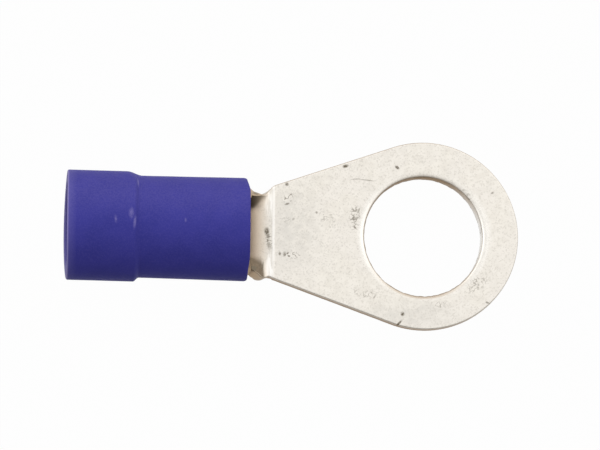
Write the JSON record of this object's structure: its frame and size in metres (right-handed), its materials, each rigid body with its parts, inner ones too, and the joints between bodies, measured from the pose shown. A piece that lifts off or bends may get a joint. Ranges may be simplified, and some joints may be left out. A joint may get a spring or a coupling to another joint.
{
  "type": "insulated ring terminal",
  "caption": "Crimp ring terminal: flat tin-plated ring and tapering tongue, rolled barrel, and a stepped blue insulating sleeve.",
  "frame": {"origin": "centre of the stud hole, halfway through the sheet", "axes": "+X from the barrel to the tip of the ring, +Z square to the ring on the side that carries the barrel's seam"},
  "size_m": [0.0242, 0.01, 0.0058],
  "materials": {
    "tinned_copper": "dull tin plate over copper, sheared edges left brown",
    "blue_pvc": "satin moulded PVC"
  },
  "bodies": {
    "root": {"terminal": "tinned_copper", "insulating_sleeve": "blue_pvc"}
  },
  "joints": []
}
